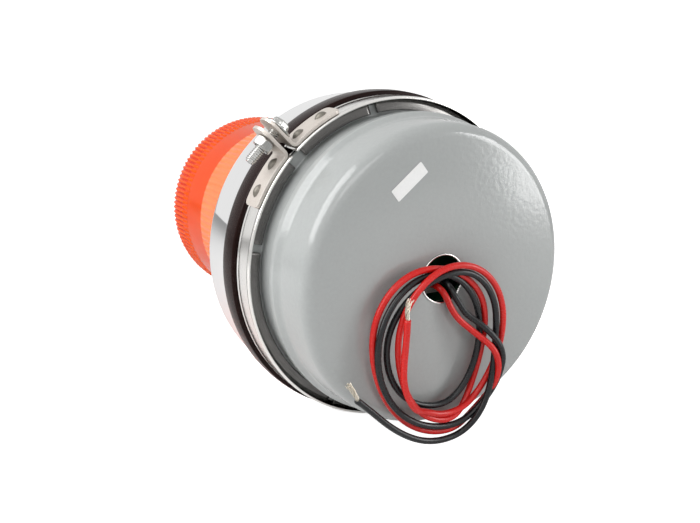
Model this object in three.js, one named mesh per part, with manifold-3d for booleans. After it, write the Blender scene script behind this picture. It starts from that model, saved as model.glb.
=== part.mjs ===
import * as THREE from "three";
import { mergeVertices } from "three/addons/utils/BufferGeometryUtils.js";
import Module from "manifold-3d";

// A round warning light: a steel can, a V-band clamp, a polished cover and an amber lens.
// The light's axis is Y. The can's back face lies at Y = 0 and the lens points to +Y.
// Stations along the axis are called y..., radii r... and angles about the axis (from +X to +Z) a...
// All sizes are in millimetres.

// ---- driving dimensions ----
const gap = 0.3; // between pieces that touch
const turns = 60; // facets round the large shells

const rHole = 11.1; // wire entry in the back face
const rCan = 67.3; // can wall behind its rounded edge
const canBead = 2.9; // how far the bead round the can stands out
const canEdge = 4; // rounding of the can's back edge
const canWall = 1.4;
const lipWall = 0.5; // bright lining of the wire entry
const yBead = 26.5;
const beadRamp = 4; // from the can's wall up to the bead
const beadFall = 4.5; // from the bead down to the neck
const beadRound = 1.2;

const yBand = 43; // middle of the clamp
const bandWidth = 13.5;
const rBand = 76; // outside of the clamp's strap
const strapThick = 0.9;
const flangeLip = 5.2; // clamped flanges of the can and the cover, beyond their necks
const flangeThick = 1.5;
const sealThick = 1.2; // between the flanges
const retainerThick = 1.1;
const retainerSlope = 18; // degrees, each leg of the V
const legDepth = 4;

const gasketProud = 2; // dark rubber ring ahead of the clamp, beyond the strap
const gasketWidth = 11.2;
const gasketRound = 1.2;
const coverProud = 0.3; // rim of the polished cover, beyond the strap
const coverHeight = 30; // rim to front face
const coverRound = 9;
const coverTaper = 2; // how far the cover's side draws in
const coverWall = 1.4;
const rimWidth = 1.6; // straight part of the cover's rim

const rLens = 50.6; // lens at its foot
const lensFlare = 2.2; // growth of the lens radius up to its shoulder
const lensHeight = 120;
const lensRound = 15;
const lensWall = 2.8;
const lensCrown = 3; // rise of the far end
const sealRing = 2; // height of the ring under the lens
const collarHeight = 12;
const collarWall = 3;

const aLugs = 134; // angle of the ears, degrees
const earGap = 3.2; // between the two ears
const earThick = 1.6;
const earHeight = 17.5;
const earRound = 4;
const lugThick = 1.4;
const lugLength = 28; // along the strap
const rivetNear = 8.5; // from the ears' middle plane, along the strap
const rivetPitch = 13;
const rivetShank = 1.5;
const rivetHead = 2.7;
const rivetRise = 1.3;
const rivetPlay = 0.25;
const rScrew = 2.4;
const screwReach = 12; // past the nut-side ear
const screwOut = 10; // from the strap to the screw's axis
const nutFlats = 8;
const nutHeight = 4;
const headRadius = 4.6; // clamp screw
const headHeight = 3.6;
const screwPlay = 0.5; // round the screw in the far ear and in the nut

const leadWire = 2.9; // lead diameter
const coilX = -5.4; // middle of the coil of leads
const coilZ = -30;
const coilHalfX = 34.4; // outer half widths of the coil
const coilHalfZ = 38.5;
const coilBand = 13;
const yCoilBack = -4.6;
const coilDeep = 7;

const yBoard = 24; // underside of the circuit board
const boardRoom = 8; // between the board and the can
const boardThick = 1.6;
const standoffInset = 10; // from the board's edge
const standoffRound = 3.5;
const boardScrew = 1.5;
const screwHole = 1.8; // in the board and its standoffs
const transformerSize = { wide: 30, tall: 26, deep: 22 };
const transformerX = -16;
const transformerRoom = 6.9; // from its side to the nearest board screw
const capacitors = {
  main: { radius: 11, height: 36, inset: 31.8, angle: 32.5 }, // inset from the board's edge
  filter: { radius: 6, height: 18, inset: 29.6, angle: -45 },
};
const terminalSize = { wide: 14, tall: 8, deep: 9 };
const terminalPlace = { x: 2, z: -7 };
const plateThick = 1.5;

// ---- values that follow from them ----
const radians = THREE.MathUtils.degToRad;
const rWeb = rBand - strapThick - gap; // outside of the retainers
const rFlange = rWeb - retainerThick - gap;
const rNeck = rFlange - flangeLip;
const rCoverNeck = rNeck + 0.4;
const rCanBead = rCan + canBead;
const rBoard = rCan - canWall - boardRoom;
const standoffRing = rBoard - standoffInset;
const yBandLow = yBand - bandWidth / 2;
const yBandHigh = yBand + bandWidth / 2;
const yCanFlange = yBand - sealThick / 2 - gap - flangeThick;
const yCoverFlange = yBand + sealThick / 2 + gap;
const yGasket = yBandHigh + gap;
const yRim = yGasket + gasketWidth + gap;
const yFront = yRim + coverHeight;
const yLensFoot = yFront + sealRing + 2 * gap;
const yLensEnd = yLensFoot + lensHeight;
const rCollar = rLens - lensWall - 0.6;
const yCollarFlange = yFront - coverWall - gap - plateThick;
const yLampPlate = yCollarFlange - gap - plateThick;
const rScrewLine = rBand + screwOut;
const rGasket = rBand + gasketProud;
const rCover = rBand + coverProud;

const group = new THREE.Group();
const wasm = await Module();
wasm.setup();

// ---- finishes ----
const finish = (color, roughness, metalness) => new THREE.MeshStandardMaterial({ color, roughness, metalness });
const greyPaint = finish(0xa6a9aa, 0.3, 0.1);
const stainless = finish(0xd2d2d0, 0.22, 1);
const lugSteel = finish(0xb9b2aa, 0.5, 0.8);
const chrome = finish(0xf0f0f0, 0.08, 1);
const zincPlate = finish(0xcfd0cc, 0.35, 1);
const darkRubber = finish(0x1c1210, 0.3, 0);
const sealRubber = finish(0x202020, 0.7, 0);
const amber = finish(0xff5a08, 0.2, 0);
const glass = finish(0xe8f0f4, 0.05, 0);
const boardGreen = finish(0x1f5a38, 0.5, 0);
const ceramic = finish(0xe8e4da, 0.5, 0);
const blackPlastic = finish(0x1a1a1c, 0.5, 0);
const capSleeve = finish(0x26303c, 0.4, 0);
const redVinyl = finish(0xe03a30, 0.4, 0);
const blackVinyl = finish(0x202224, 0.4, 0);
const copper = finish(0xc8c4b8, 0.4, 1);
const paper = finish(0xf0f0f0, 0.6, 0);

// ---- solids ----
function toSolid(geometry) {
  const bare = geometry.clone();
  bare.deleteAttribute("normal");
  bare.deleteAttribute("uv");
  const merged = mergeVertices(bare, 1e-4);
  const vertProperties = new Float32Array(merged.attributes.position.array);
  const triVerts = new Uint32Array(merged.index.array);
  return new wasm.Manifold(new wasm.Mesh({ numProp: 3, vertProperties, triVerts }));
}

function toGeometry(solid) {
  const mesh = solid.getMesh();
  const geometry = new THREE.BufferGeometry();
  geometry.setAttribute("position", new THREE.BufferAttribute(mesh.vertProperties, 3));
  geometry.setIndex(new THREE.BufferAttribute(mesh.triVerts, 1));
  geometry.computeVertexNormals();
  return geometry;
}

function cut(geometry, ...tools) {
  return toGeometry(tools.reduce((body, tool) => body.subtract(toSolid(tool)), toSolid(geometry)));
}

function join(geometry, ...others) {
  return toGeometry(others.reduce((body, other) => body.add(toSolid(other)), toSolid(geometry)));
}

function common(geometry, other) {
  return toGeometry(toSolid(geometry).intersect(toSolid(other)));
}

function addPiece(name, geometry, material, parent = group) {
  const piece = new THREE.Mesh(geometry, material);
  piece.name = name;
  parent.add(piece);
  return piece;
}

// A solid of revolution about Y from [radius, station] points; the outline runs so that faces point out.
function revolve(outline, segments = turns) {
  const points = outline.map(([r, y]) => new THREE.Vector2(r, y));
  if (THREE.ShapeUtils.area(points) < 0) points.reverse();
  const closed = points.every((p) => p.x > 0);
  const start = points.findIndex((p, i) => p.x === 0 && points.at(i - 1).x === 0);
  const ordered = closed ? [...points, points[0]] : [...points.slice(start), ...points.slice(0, start)];
  return new THREE.LatheGeometry(ordered, segments);
}

const ring = (rIn, rOut, y0, y1, segments = turns) =>
  revolve([[rIn, y0], [rOut, y0], [rOut, y1], [rIn, y1]], segments);

const disc = (r, y0, y1, segments = 32) => revolve([[0, y0], [r, y0], [r, y1], [0, y1]], segments);

// Points of a quarter or other arc, as [radius, station], about a centre.
function arc(r, y, radius, from, to, steps = 4) {
  return Array.from({ length: steps + 1 }, (_, i) => {
    const a = radians(from + ((to - from) * i) / steps);
    return [r + radius * Math.cos(a), y + radius * Math.sin(a)];
  });
}

// A flat shape drawn in X and Z, from station y0 to y1.
function plate(shape, y0, y1) {
  const geometry = new THREE.ExtrudeGeometry(shape, { depth: y1 - y0, bevelEnabled: false, curveSegments: 6 });
  return geometry.rotateX(Math.PI / 2).translate(0, y1, 0);
}

function pegAt(x, z, r, y0, y1, segments = 16) {
  return disc(r, y0, y1, segments).translate(x, 0, z);
}

// A sector of a ring between two angles in degrees.
function sector(rIn, rOut, y0, y1, from, to) {
  const steps = Math.max(2, Math.ceil(Math.abs(to - from) / (360 / turns)));
  const angles = Array.from({ length: steps + 1 }, (_, i) => radians(from + ((to - from) * i) / steps));
  const outer = angles.map((a) => new THREE.Vector2(rOut * Math.cos(a), rOut * Math.sin(a)));
  const inner = angles.map((a) => new THREE.Vector2(rIn * Math.cos(a), rIn * Math.sin(a)));
  return plate(new THREE.Shape([...outer, ...inner.reverse()]), y0, y1);
}

function tube(points, diameter, steps, sides = 8) {
  const path = new THREE.CatmullRomCurve3(points.map((p) => new THREE.Vector3(...p)));
  const section = new THREE.Shape(
    Array.from({ length: sides }, (_, i) => {
      const a = (2 * Math.PI * i) / sides;
      return new THREE.Vector2((diameter / 2) * Math.cos(a), (diameter / 2) * Math.sin(a));
    }),
  );
  return new THREE.ExtrudeGeometry(section, { steps, extrudePath: path, bevelEnabled: false });
}

// ---- can ----
function baseHousing() {
  const bead = (wall) => [
    [rCanBead - beadRound - wall, yBead - beadRamp],
    [rCanBead - wall, yBead - beadRound],
    [rCanBead - wall, yBead + beadRound],
    [rNeck - wall, yBead + beadFall],
  ];
  const outside = [
    [rHole, 0],
    ...arc(rCan - canEdge, canEdge, canEdge, -90, 0),
    ...bead(0),
    [rNeck, yCanFlange],
    [rFlange, yCanFlange],
    [rFlange, yCanFlange + flangeThick],
  ];
  const inside = [
    [rNeck - canWall, yCanFlange + flangeThick],
    ...bead(canWall).reverse(),
    ...arc(rCan - canEdge, canEdge, canEdge - canWall, 0, -90),
    [rHole, canWall],
  ];
  return revolve([...outside, ...inside]);
}

addPiece("base_housing", baseHousing(), greyPaint);
addPiece("hole_lip", ring(rHole - gap - lipWall, rHole - gap, -lipWall, canWall + lipWall, 40), stainless);

// The label is set in from the can's wall, and tilted from X towards Z.
const label = { long: 18.3, wide: 6, thick: 0.2, tilt: 38, inset: 19.63, angle: 111.67 };
const rLabel = rCan - label.inset;
const sticker = new THREE.BoxGeometry(label.long, label.thick, label.wide).rotateY(-radians(label.tilt));
const labelX = rLabel * Math.cos(radians(label.angle));
const labelZ = rLabel * Math.sin(radians(label.angle));
addPiece("blank_sticker", sticker.translate(labelX, -gap - label.thick / 2, labelZ), paper);

// ---- cover, gasket and seals ----
function coverPlate() {
  const rSide = rCover - coverTaper;
  const outside = [
    [rFlange, yCoverFlange],
    [rFlange, yCoverFlange + flangeThick],
    [rCoverNeck, yCoverFlange + flangeThick],
    [rCoverNeck, yRim],
    [rCover, yRim],
    [rCover, yRim + rimWidth],
    ...arc(rSide - coverRound, yFront - coverRound, coverRound, 8, 90, 5),
    [rCollar + gap, yFront],
  ];
  const inside = [
    [rCollar + gap, yFront - coverWall],
    ...arc(rSide - coverRound, yFront - coverRound, coverRound - coverWall, 90, 8, 5),
    [rCover - coverWall, yRim + rimWidth],
    [rCoverNeck - coverWall, yRim + rimWidth],
    [rCoverNeck - coverWall, yCoverFlange],
  ];
  return revolve([...outside, ...inside]);
}

const collarFlangeWidth = 8;
const plateScrew = { shank: 1.8, head: 3.2, headHeight: 2, play: 0.3 };
const screwRingRadius = rCollar + collarFlangeWidth / 2;
const screwRing = [0, 1, 2].map((i) => {
  const a = radians(45 + 120 * i);
  return [screwRingRadius * Math.cos(a), screwRingRadius * Math.sin(a)];
});

addPiece("cover", coverPlate(), chrome);
const sealSpan = [yBand - sealThick / 2, yBand + sealThick / 2];
addPiece("flange_seal", ring(rNeck - 0.8, rFlange - 0.8, ...sealSpan), sealRubber);

const gasketOutline = [
  [rCoverNeck + gap, yGasket],
  [rGasket - gasketRound, yGasket],
  [rGasket, yGasket + gasketRound],
  [rGasket, yGasket + gasketWidth - gasketRound],
  [rGasket - gasketRound, yGasket + gasketWidth],
  [rCoverNeck + gap, yGasket + gasketWidth],
];
addPiece("rubber_ring", revolve(gasketOutline), darkRubber);

// ---- lens and lamp ----
function lensSolid() {
  const shoulder = rLens + lensFlare;
  const yRound = yLensEnd - lensCrown - lensRound;
  const outer = revolve([
    [0, yLensFoot],
    [rLens, yLensFoot],
    ...arc(shoulder - lensRound, yRound, lensRound, 0, 72, 5),
    [0, yLensEnd],
  ]);
  const inner = revolve([
    [0, yLensFoot - 1],
    [rLens - lensWall, yLensFoot - 1],
    ...arc(shoulder - lensRound, yRound, lensRound - lensWall, 0, 72, 5),
    [0, yLensEnd - lensWall],
  ]);
  return cut(outer, inner);
}

addPiece("lens", lensSolid(), amber);
const lensSeal = ring(rLens - lensWall, rLens + 1, yFront + gap, yFront + gap + sealRing);
addPiece("lens_seal", lensSeal, sealRubber);

const rPlateEdge = rCollar + collarFlangeWidth;
const collarTube = ring(rCollar - collarWall, rCollar, yCollarFlange, yFront + collarHeight);
const collarFlange = ring(rCollar - collarWall, rPlateEdge, yCollarFlange, yCollarFlange + plateThick);
const holeRadius = plateScrew.shank + plateScrew.play;
const plateScrewHole = (x, z, y) => pegAt(x, z, holeRadius, y - plateThick, y + 2 * plateThick);
const collarHoles = screwRing.map(([x, z]) => plateScrewHole(x, z, yCollarFlange));
addPiece("lens_collar", cut(join(collarTube, collarFlange), ...collarHoles), blackPlastic);

const plateHoles = screwRing.map(([x, z]) => plateScrewHole(x, z, yLampPlate));
const wirePass = { z: 14, radius: 3 }; // for the lamp's wires
const passSpan = [yLampPlate - plateThick, yLampPlate + 2 * plateThick];
const platePass = pegAt(0, wirePass.z, wirePass.radius, ...passSpan);
const lampPlate = disc(rPlateEdge, yLampPlate, yLampPlate + plateThick, 64);
addPiece("lamp_plate", cut(lampPlate, platePass, ...plateHoles), zincPlate);

screwRing.forEach(([x, z], i) => {
  const seat = yLampPlate - gap;
  const { shank, head, headHeight } = plateScrew;
  const bar = pegAt(x, z, shank, seat - 0.5, yCollarFlange + plateThick);
  const top = seat - headHeight;
  const dome = revolve([[0, top], [head - 1, top + 0.4], [head, seat], [0, seat]], 20);
  addPiece("plate_screw_" + (i + 1), join(bar, dome.translate(x, 0, z)), zincPlate);
});

const socket = { foot: 17, top: 13, step: 5, height: 22 };
const ySocket = yLampPlate + plateThick + gap;
const ySocketTop = ySocket + socket.height;
const socketOutline = [
  [0, ySocket],
  [socket.foot, ySocket],
  [socket.foot, ySocket + socket.step],
  [socket.top, ySocket + socket.step + 3],
  [socket.top, ySocketTop],
  [0, ySocketTop],
];
addPiece("lamp_socket", revolve(socketOutline, 48), blackPlastic);

// The flash tube: a leg up, a helix, and a leg back down.
const yTube = ySocketTop + gap;
const helix = { turns: 3.5, radius: 9.5, rise: 30, start: 14, points: 28 };
const helixPoints = Array.from({ length: helix.points + 1 }, (_, i) => {
  const share = i / helix.points;
  const a = 2 * Math.PI * helix.turns * share;
  return [helix.radius * Math.cos(a), yTube + helix.start + helix.rise * share, helix.radius * Math.sin(a)];
});
const yHelixTop = yTube + helix.start + helix.rise;
const tubePoints = [
  [helix.radius, yTube, -2],
  [helix.radius, yTube + 8, -1.5],
  ...helixPoints,
  [-4, yHelixTop + 5, -2],
  [0, yHelixTop + 1, 0],
  [0, yHelixTop - 20, 0],
  [0, yTube, 0],
];
const glassTube = 3.6;
addPiece("flash_tube", tube(tubePoints, glassTube, 84), glass);

const triggerSize = { long: 14, thick: 9, x: -22, z: 12 };
const trigger = new THREE.BoxGeometry(triggerSize.long, triggerSize.thick, triggerSize.thick);
const yTrigger = yLampPlate - gap - triggerSize.thick / 2;
addPiece("trigger_coil", trigger.translate(triggerSize.x, yTrigger, triggerSize.z), blackPlastic);

// ---- circuit board ----
const boardTop = yBoard + boardThick;
const onBoard = boardTop + gap;
const screwDeep = 7; // board screws, into their standoffs
const standoffs = [0, 1, 2, 3].map((i) => {
  const a = radians(45 + 90 * i);
  return [standoffRing * Math.cos(a), standoffRing * Math.sin(a)];
});
const boardHoles = standoffs.map(([x, z]) => pegAt(x, z, screwHole, yBoard - 1, boardTop + 1));
const board = disc(rBoard, yBoard, boardTop, 64);
addPiece("power_board", cut(board, ...boardHoles), boardGreen);
standoffs.forEach(([x, z], i) => {
  const post = pegAt(x, z, standoffRound, canWall + gap, yBoard - gap, 6);
  const bore = pegAt(x, z, screwHole, yBoard - screwDeep - 2, yBoard);
  addPiece("board_standoff_" + (i + 1), cut(post, bore), zincPlate);
  const shank = pegAt(x, z, boardScrew, yBoard - screwDeep, onBoard + 0.5, 12);
  const head = pegAt(x, z, boardScrew + 1.3, onBoard, onBoard + 1.8);
  addPiece("board_screw_" + (i + 1), join(shank, head), zincPlate);
});

const { wide, tall, deep } = transformerSize;
const transformerZ = transformerRoom + tall / 2 - standoffs[0][1];
const transformer = new THREE.BoxGeometry(wide, deep, tall);
addPiece("transformer", transformer.translate(transformerX, onBoard + deep / 2, transformerZ), blackPlastic);
for (const [kind, { radius, height, inset, angle }] of Object.entries(capacitors)) {
  const x = (rBoard - inset) * Math.cos(radians(angle));
  const z = (rBoard - inset) * Math.sin(radians(angle));
  addPiece(kind + "_capacitor", pegAt(x, z, radius, onBoard, onBoard + height, 28), capSleeve);
}
const terminals = new THREE.BoxGeometry(terminalSize.wide, terminalSize.deep, terminalSize.tall);
const yTerminals = yBoard - gap - terminalSize.deep / 2;
addPiece("terminal_block", terminals.translate(terminalPlace.x, yTerminals, terminalPlace.z), ceramic);

// ---- clamp ----
// Each half of the strap runs from the ears to the point opposite them, where the strap bends.
const flexGap = 0.4; // degrees
const halves = { upper: -1, lower: 1 }; // which way round each one runs
const segments = [[3, 33], [36, 106], [109, 177]]; // retainers, degrees from the ears

// Angles measured from the ears, both ways round, become angles about the axis.
function spanFor(turn, near, far) {
  const ends = [aLugs + turn * near, aLugs + turn * far];
  return [Math.min(...ends), Math.max(...ends)];
}

function retainerRing() {
  const rTip = rWeb - retainerThick - legDepth;
  const halfAtWeb = sealThick / 2 + gap + flangeThick + gap;
  const halfAtTip = halfAtWeb + legDepth * Math.tan(radians(retainerSlope));
  const legWidth = retainerThick / Math.cos(radians(retainerSlope));
  return revolve([
    [rTip, yBand - halfAtTip - legWidth],
    [rWeb, yBand - halfAtWeb - legWidth],
    [rWeb, yBand + halfAtWeb + legWidth],
    [rTip, yBand + halfAtTip + legWidth],
    [rTip, yBand + halfAtTip],
    [rWeb - retainerThick, yBand + halfAtWeb],
    [rWeb - retainerThick, yBand - halfAtWeb],
    [rTip, yBand - halfAtTip],
  ]);
}

// The ears' own frame: X runs outwards, Y along the light and Z round the strap.
const earFrame = new THREE.Group();
earFrame.rotation.y = -radians(aLugs);
group.add(earFrame);
const inEarFrame = (geometry) => geometry.rotateY(-radians(aLugs));

const lugHalf = bandWidth / 2 - 0.5;
const rLug = rBand + gap;
const alongStrap = (mm) => THREE.MathUtils.radToDeg(mm / rBand);

function lug(turn) {
  const near = earGap / 2;
  const [from, to] = spanFor(turn, alongStrap(near + earThick / 2), alongStrap(near + lugLength));
  const foot = sector(rLug, rLug + lugThick, yBand - lugHalf, yBand + lugHalf, from, to);
  const outline = new THREE.Shape();
  const tip = rLug + earHeight;
  const root = rLug + lugThick / 2;
  outline.moveTo(root, -lugHalf);
  outline.lineTo(tip - earRound, -lugHalf);
  outline.absarc(tip - earRound, -lugHalf + earRound, earRound, -Math.PI / 2, 0);
  outline.absarc(tip - earRound, lugHalf - earRound, earRound, 0, Math.PI / 2);
  outline.lineTo(root, lugHalf);
  const ear = new THREE.ExtrudeGeometry(outline, { depth: earThick, bevelEnabled: false, curveSegments: 6 });
  ear.translate(0, yBand, turn > 0 ? near : -near - earThick);
  const hole = acrossEars(rScrew + screwPlay, -earGap, earGap);
  return cut(join(foot, inEarFrame(ear)), hole, ...rivetSpots(turn).map(rivetHole));
}

// A round bar through the ears, between two places on the ears' Z.
function acrossEars(r, z0, z1, segments = 24) {
  const bar = new THREE.CylinderGeometry(r, r, z1 - z0, segments).rotateX(Math.PI / 2);
  return inEarFrame(bar.translate(rScrewLine, yBand, (z0 + z1) / 2));
}

const rivetSpots = (turn) => [0, 1].map((i) => aLugs + turn * alongStrap(rivetNear + rivetPitch * i));

// A profile of [radius, height] points stood on the strap at an angle, with height measured from the axis.
function standingAt(angle, outline, segments = 16) {
  return revolve(outline, segments).rotateZ(-Math.PI / 2).translate(0, yBand, 0).rotateY(-radians(angle));
}

function rivetHole(angle) {
  const r = rivetShank + rivetPlay;
  return standingAt(angle, [[0, rWeb], [r, rWeb], [r, rLug + 2 * lugThick], [0, rLug + 2 * lugThick]]);
}

for (const [side, turn] of Object.entries(halves)) {
  const strapSpan = spanFor(turn, alongStrap(earGap / 2), 180 - flexGap / 2);
  const strap = sector(rBand - strapThick, rBand, yBandLow, yBandHigh, ...strapSpan);
  addPiece("strap_" + side, cut(strap, ...rivetSpots(turn).map(rivetHole)), stainless);
  segments.forEach(([near, far], i) => {
    const wedge = sector(rCan, rLug, yBandLow, yBandHigh, ...spanFor(turn, near, far));
    addPiece("retainer_" + side + "_" + (i + 1), common(retainerRing(), wedge), stainless);
  });
  addPiece("lug_" + side, lug(turn), lugSteel);
  rivetSpots(turn).forEach((angle, i) => {
    const seat = rLug + lugThick + gap;
    const outline = [
      [0, rBand - strapThick + 0.1],
      [rivetShank, rBand - strapThick + 0.1],
      [rivetShank, seat],
      [rivetHead, seat],
      [rivetHead * 0.8, seat + rivetRise * 0.7],
      [0, seat + rivetRise],
    ];
    addPiece("rivet_" + side + "_" + (i + 1), standingAt(angle, outline), lugSteel);
  });
}

const earFace = earGap / 2 + earThick + gap;
const washer = { radius: 6.2, thick: 1 };
const headFace = earFace + washer.thick + gap;
const washerDisc = acrossEars(washer.radius, -earFace - washer.thick, -earFace, 32);
addPiece("screw_washer", cut(washerDisc, acrossEars(rScrew + gap, -headFace, 0)), zincPlate);
const screwHead = acrossEars(headRadius, -headFace - headHeight, -headFace, 6);
const screwShank = acrossEars(rScrew, -headFace - 1, earFace + screwReach);
addPiece("clamp_screw", join(screwHead, screwShank), zincPlate);
const nutRadius = nutFlats / 2 / Math.cos(Math.PI / 6);
const nutBore = acrossEars(rScrew + screwPlay, 0, earFace + nutHeight + 1);
const nut = cut(acrossEars(nutRadius, earFace, earFace + nutHeight, 6), nutBore);
addPiece("clamp_nut", nut, zincPlate);

// ---- leads ----
// The coil's solid: an oval ring in front of the back face.
const coilRing = ring(1 - coilBand / coilHalfX, 1, 0, 1, 40);
addPiece(
  "lead_coil",
  coilRing.scale(coilHalfX, coilDeep, coilHalfZ).translate(coilX, yCoilBack - coilDeep, coilZ),
  redVinyl,
);

const leadRoutes = {
  red: {
    material: redVinyl,
    inside: [[-1.4, 14.2, -4.2], [-1.2, 10, -4.2], [-1, 5.2, -4]],
    exit: [[-1, 4.6, -4], [-0.6, 1, -4.6], [0.6, -2.2, -8], [2.6, -3.4, -13], [6, -5, -18.4], [9.6, -6.4, -22]],
    tail: [[-22.7, -13.4, -50.7], [-26.3, -13.4, -44.6], [-28.2, -13.4, -37], [-28, -13.4, -27.3],
      [-27.3, -13.4, -19.7], [-26.7, -13.4, -10.5]],
    tip: [[-26.7, -13.4, -10.1], [-26.8, -13.4, -5.7], [-25.5, -13.4, -1.5]],
  },
  black: {
    material: blackVinyl,
    inside: [[3.6, 14.2, -4.2], [3.6, 10, -3.8], [3.6, 5.3, -2.9]],
    exit: [[3.6, 4.6, -2.8], [4, 1, -3.6], [5, -2.4, -8], [6.8, -3.6, -11.5], [8.4, -5, -14.8]],
    tail: [[7, -8, -70.6], [-1, -8, -72.2], [-9, -8, -71.6], [-17, -8, -69], [-25, -8, -64.4],
      [-33, -8, -58], [-40.8, -8, -50.4], [-47.9, -8, -43.6]],
    tip: [[-48.2, -8, -43.2], [-49.9, -8, -39], [-52.4, -8, -35.2]],
  },
};

for (const [colour, { material, inside, exit, tail, tip }] of Object.entries(leadRoutes)) {
  addPiece("inner_lead_" + colour, tube(inside, leadWire, 6), material);
  addPiece("lead_" + colour, tube(exit, leadWire, 10), material);
  addPiece("lead_tail_" + colour, tube(tail, leadWire, 12), material);
  addPiece("bare_end_" + colour, tube(tip, leadWire * 0.7, 4), copper);
}

export default group;
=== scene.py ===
import bpy
import numpy as np
from mathutils import Matrix, Vector


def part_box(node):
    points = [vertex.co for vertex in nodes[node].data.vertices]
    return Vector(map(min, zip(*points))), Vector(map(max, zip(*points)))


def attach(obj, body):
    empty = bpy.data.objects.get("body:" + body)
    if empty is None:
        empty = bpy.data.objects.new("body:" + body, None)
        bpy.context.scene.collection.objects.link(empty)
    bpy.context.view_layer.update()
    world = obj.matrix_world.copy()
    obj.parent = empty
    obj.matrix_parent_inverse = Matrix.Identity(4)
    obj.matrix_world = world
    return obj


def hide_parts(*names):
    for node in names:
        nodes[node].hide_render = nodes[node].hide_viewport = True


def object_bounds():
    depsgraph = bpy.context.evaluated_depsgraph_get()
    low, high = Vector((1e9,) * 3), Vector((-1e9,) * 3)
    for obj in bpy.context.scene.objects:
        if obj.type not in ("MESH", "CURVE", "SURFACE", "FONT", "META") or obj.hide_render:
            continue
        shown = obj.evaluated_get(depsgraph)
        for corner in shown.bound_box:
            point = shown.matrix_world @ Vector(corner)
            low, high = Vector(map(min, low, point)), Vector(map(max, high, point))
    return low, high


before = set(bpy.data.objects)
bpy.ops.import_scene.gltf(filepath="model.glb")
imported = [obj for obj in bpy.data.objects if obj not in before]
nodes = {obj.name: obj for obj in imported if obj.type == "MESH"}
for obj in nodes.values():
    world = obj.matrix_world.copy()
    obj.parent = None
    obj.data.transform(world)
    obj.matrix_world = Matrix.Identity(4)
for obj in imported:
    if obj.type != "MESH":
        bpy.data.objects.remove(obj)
cadLow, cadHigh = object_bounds()
print("frame loaded")

# Sizes are in millimetres, and points are multiplied by mm when they go into a mesh.
# The light's axis is Y: its back face lies at y = 0 and the lens points to +Y.
mm = 0.001
gap = 0.3  # clearance between neighbours, as in the CAD


def low(node, axis):
    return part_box(node)[0][axis] / mm  # low side of a CAD node along an axis, in millimetres


def high(node, axis):
    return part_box(node)[1][axis] / mm


# ---- camera ----
view = {"lens": 46.3, "place": (-221.3, -307.6, 108.6), "azimuth": -29.64, "elevation": 14.95, "roll": -0.36}


def addCamera():
    data = bpy.data.cameras.new("camera")
    data.lens, data.sensor_width = view["lens"], 36
    camera = bpy.data.objects.new("camera", data)
    bpy.context.scene.collection.objects.link(camera)
    camera.location = [v * mm for v in view["place"]]
    turn = Matrix.Rotation(np.radians(view["azimuth"]), 3, "Z")
    turn = turn @ Matrix.Rotation(np.radians(90 - view["elevation"]), 3, "X")
    turn = turn @ Matrix.Rotation(np.radians(view["roll"]), 3, "Z")
    camera.rotation_euler = turn.to_euler()
    bpy.context.scene.camera = camera


addCamera()


# ---- mesh making ----
def addMesh(name, points, faces, uv=None, smooth=True, marks=None):
    # points in millimetres, shape (n, 3); faces a list of arrays, one row of vertex numbers a face;
    # marks a dictionary of values at the vertices, which a material can read by name
    mesh = bpy.data.meshes.new(name)
    mesh.from_pydata((np.asarray(points) * mm).tolist(), [], [row for block in faces for row in block.tolist()])
    if uv is not None:
        corner = np.empty(len(mesh.loops), np.int32)
        mesh.loops.foreach_get("vertex_index", corner)
        mesh.uv_layers.new(name="UVMap").data.foreach_set("uv", np.asarray(uv, np.float32)[corner].ravel())
    for label, values in (marks or {}).items():
        mesh.attributes.new(label, "FLOAT", "POINT").data.foreach_set("value", np.asarray(values, np.float32).ravel())
    if smooth:
        mesh.shade_smooth()
    piece = bpy.data.objects.new(name, mesh)
    bpy.context.scene.collection.objects.link(piece)
    return piece


def grid(rows, cols, wrapRows=False, wrapCols=True):
    # quads of a sheet of rows x cols points, joined round either way
    i = np.arange(rows if wrapRows else rows - 1)[:, None]
    j = np.arange(cols if wrapCols else cols - 1)[None, :]
    i2, j2 = (i + 1) % rows, (j + 1) % cols
    return np.stack([i * cols + j, i * cols + j2, i2 * cols + j2, i2 * cols + j], -1).reshape(-1, 4)


def rounded(corners, steps=4):
    # an outline of (r, y, fillet) corners: a fillet is the arc that touches both sides of its corner
    points = np.array([c[:2] for c in corners], float)
    out = []
    for k, corner in enumerate(corners):
        p = points[k]
        a, b = points[k - 1] - p, points[(k + 1) % len(points)] - p
        longA, longB = np.linalg.norm(a), np.linalg.norm(b)
        a, b = a / longA, b / longB
        half = np.arccos(np.clip(a @ b, -1, 1)) / 2
        fillet = corner[2] if len(corner) > 2 else 0
        if fillet <= 0 or half > 1.54:
            out.append(p[None])
            continue
        back = min(fillet / np.tan(half), 0.48 * longA, 0.48 * longB)
        radius = back * np.tan(half)
        centre = p + (a + b) / np.linalg.norm(a + b) * radius / np.sin(half)
        u, v = p + a * back - centre, p + b * back - centre
        t, arc = np.linspace(0, 1, steps + 1)[:, None], np.pi - 2 * half
        out.append(centre + (np.sin((1 - t) * arc) * u + np.sin(t * arc) * v) / np.sin(arc))
    return np.concatenate(out)


def wayRound(outline):
    # the outline run anticlockwise in (r, y), by the sign of its area
    r, y = outline.T
    area = np.sum(r * np.roll(y, -1) - np.roll(r, -1) * y)
    return outline if area > 0 else outline[::-1]


def revolved(name, corners, segments=256, steps=4):
    # surface of revolution about Y: a point at angle a is (r cos a, y, r sin a)
    outline = wayRound(rounded(corners, steps))
    a = np.linspace(0, 2 * np.pi, segments, endpoint=False)[None, :]
    r, y = outline[:, :1], outline[:, 1:]
    points = np.stack([r * np.cos(a), y + 0 * a, r * np.sin(a)], -1)
    return addMesh(name, points.reshape(-1, 3), [grid(len(outline), segments, wrapRows=True)[:, ::-1]])


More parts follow.
